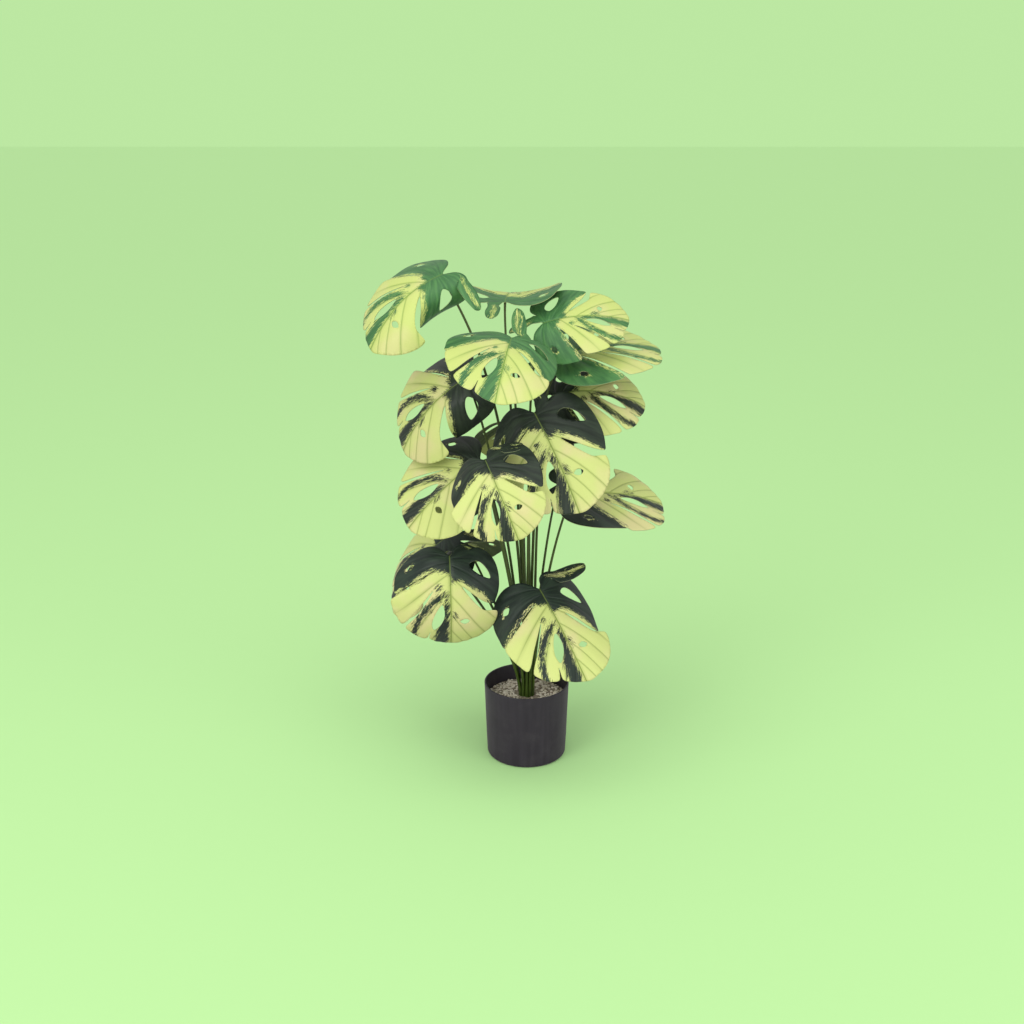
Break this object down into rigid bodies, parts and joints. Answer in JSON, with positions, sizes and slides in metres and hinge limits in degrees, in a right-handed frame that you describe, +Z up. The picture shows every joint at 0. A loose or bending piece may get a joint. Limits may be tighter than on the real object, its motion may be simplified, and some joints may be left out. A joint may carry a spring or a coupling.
{
  "type": "potted artificial monstera plant",
  "caption": "Artificial variegated monstera: split and holed cream-and-green leaves on slender stems that rise from a round pot topped with stone chips.",
  "frame": {"origin": "centre of the pot's flat base, on the surface it stands on", "axes": "+Z up along the pot's axis, -Y towards the front of the plant, +X to the viewer's right from the front"},
  "size_m": [0.4678, 0.4216, 0.8144],
  "materials": {
    "pot_plastic": "satin near-black moulded plastic",
    "cement": "rough cast weight, hidden",
    "stone_chips": "matt pale stone chips",
    "petiole_plastic": "satin green plastic over wire",
    "leaf_print": "satin printed sheet, cream-yellow with dark green print"
  },
  "bodies": {
    "root": {"filler": "cement", "gravel": "stone_chips", "leaf_back_left_low": "leaf_print", "leaf_back_left_middle": "leaf_print", "leaf_back_low_right": "leaf_print", "leaf_back_middle": "leaf_print", "leaf_back_top": "leaf_print", "leaf_front_high_right": "leaf_print", "leaf_front_low_left": "leaf_print", "leaf_front_low_right": "leaf_print", "leaf_front_middle": "leaf_print", "leaf_front_top": "leaf_print", "leaf_left_high": "leaf_print", "leaf_left_low": "leaf_print", "leaf_left_middle": "leaf_print", "leaf_left_top": "leaf_print", "leaf_right_high": "leaf_print", "leaf_right_low": "leaf_print", "leaf_right_middle": "leaf_print", "leaf_right_top": "leaf_print", "petiole_back_left_low": "petiole_plastic", "petiole_back_left_middle": "petiole_plastic", "petiole_back_low_right": "petiole_plastic", "petiole_back_middle": "petiole_plastic", "petiole_back_top": "petiole_plastic", "petiole_front_high_right": "petiole_plastic", "petiole_front_low_left": "petiole_plastic", "petiole_front_low_right": "petiole_plastic", "petiole_front_middle": "petiole_plastic", "petiole_front_top": "petiole_plastic", "petiole_left_high": "petiole_plastic", "petiole_left_low": "petiole_plastic", "petiole_left_middle": "petiole_plastic", "petiole_left_top": "petiole_plastic", "petiole_right_high": "petiole_plastic", "petiole_right_low": "petiole_plastic", "petiole_right_middle": "petiole_plastic", "petiole_right_top": "petiole_plastic", "pot": "pot_plastic"}
  },
  "joints": []
}
